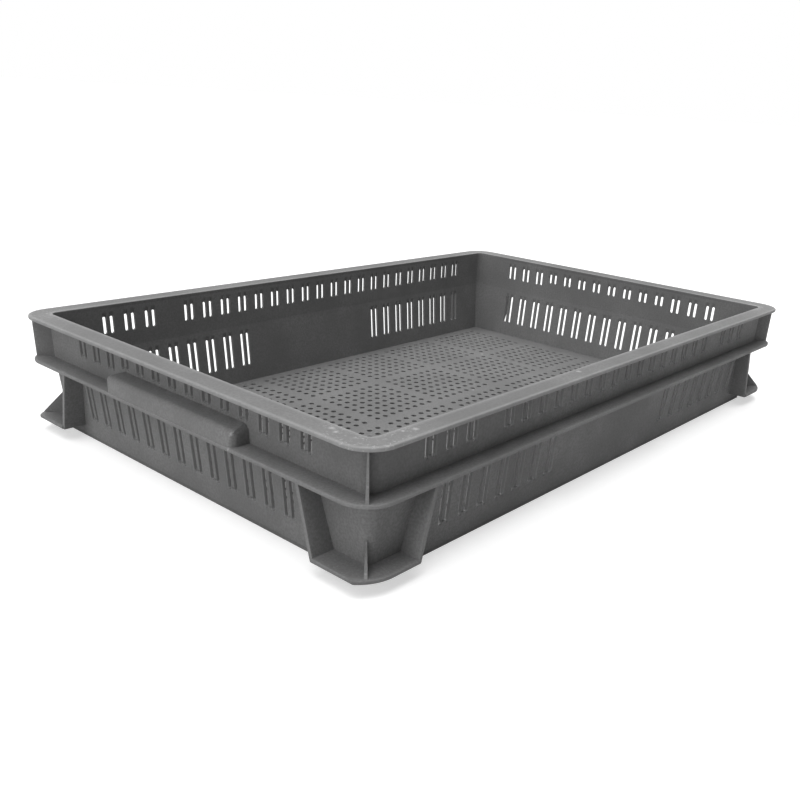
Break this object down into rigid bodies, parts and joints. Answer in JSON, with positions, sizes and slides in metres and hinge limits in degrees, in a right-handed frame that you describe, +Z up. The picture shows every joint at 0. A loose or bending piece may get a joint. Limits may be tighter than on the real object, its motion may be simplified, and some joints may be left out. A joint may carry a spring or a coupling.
{
  "type": "slotted crate",
  "caption": "Shallow grey plastic stacking crate with a drilled floor, paired slots in all four walls, a flat rim, a ledge with end grips and ribbed corner feet.",
  "frame": {"origin": "centre of the crate's footprint, on the surface that it stands on", "axes": "+X along the long walls, +Y along the end walls, +Z up; the front wall with two blank slot places is at -Y"},
  "size_m": [0.6, 0.4, 0.097],
  "materials": {
    "crate_plastic": "satin moulded grey plastic with light scuffs"
  },
  "bodies": {
    "root": {"back_wall": "crate_plastic", "end_rib_back_left": "crate_plastic", "end_rib_back_right": "crate_plastic", "end_rib_front_left": "crate_plastic", "end_rib_front_right": "crate_plastic", "floor_panel": "crate_plastic", "foot_gusset_back_left": "crate_plastic", "foot_gusset_back_right": "crate_plastic", "foot_gusset_front_left": "crate_plastic", "foot_gusset_front_right": "crate_plastic", "foot_plate_back_left": "crate_plastic", "foot_plate_back_right": "crate_plastic", "foot_plate_front_left": "crate_plastic", "foot_plate_front_right": "crate_plastic", "front_wall": "crate_plastic", "ledge_back": "crate_plastic", "ledge_front": "crate_plastic", "ledge_left": "crate_plastic", "ledge_right": "crate_plastic", "left_end_wall": "crate_plastic", "left_grip_cap_back": "crate_plastic", "left_grip_cap_front": "crate_plastic", "left_grip_face": "crate_plastic", "left_grip_top": "crate_plastic", "right_end_wall": "crate_plastic", "right_grip_cap_back": "crate_plastic", "right_grip_cap_front": "crate_plastic", "right_grip_face": "crate_plastic", "right_grip_top": "crate_plastic", "rim_back": "crate_plastic", "rim_front": "crate_plastic", "rim_gusset_back_left": "crate_plastic", "rim_gusset_back_right": "crate_plastic", "rim_gusset_front_left": "crate_plastic", "rim_gusset_front_right": "crate_plastic", "rim_left": "crate_plastic", "rim_right": "crate_plastic", "side_rib_back_left": "crate_plastic", "side_rib_back_right": "crate_plastic", "side_rib_front_left": "crate_plastic", "side_rib_front_right": "crate_plastic", "wall_corner_back_left": "crate_plastic", "wall_corner_back_right": "crate_plastic", "wall_corner_front_left": "crate_plastic", "wall_corner_front_right": "crate_plastic"}
  },
  "joints": []
}
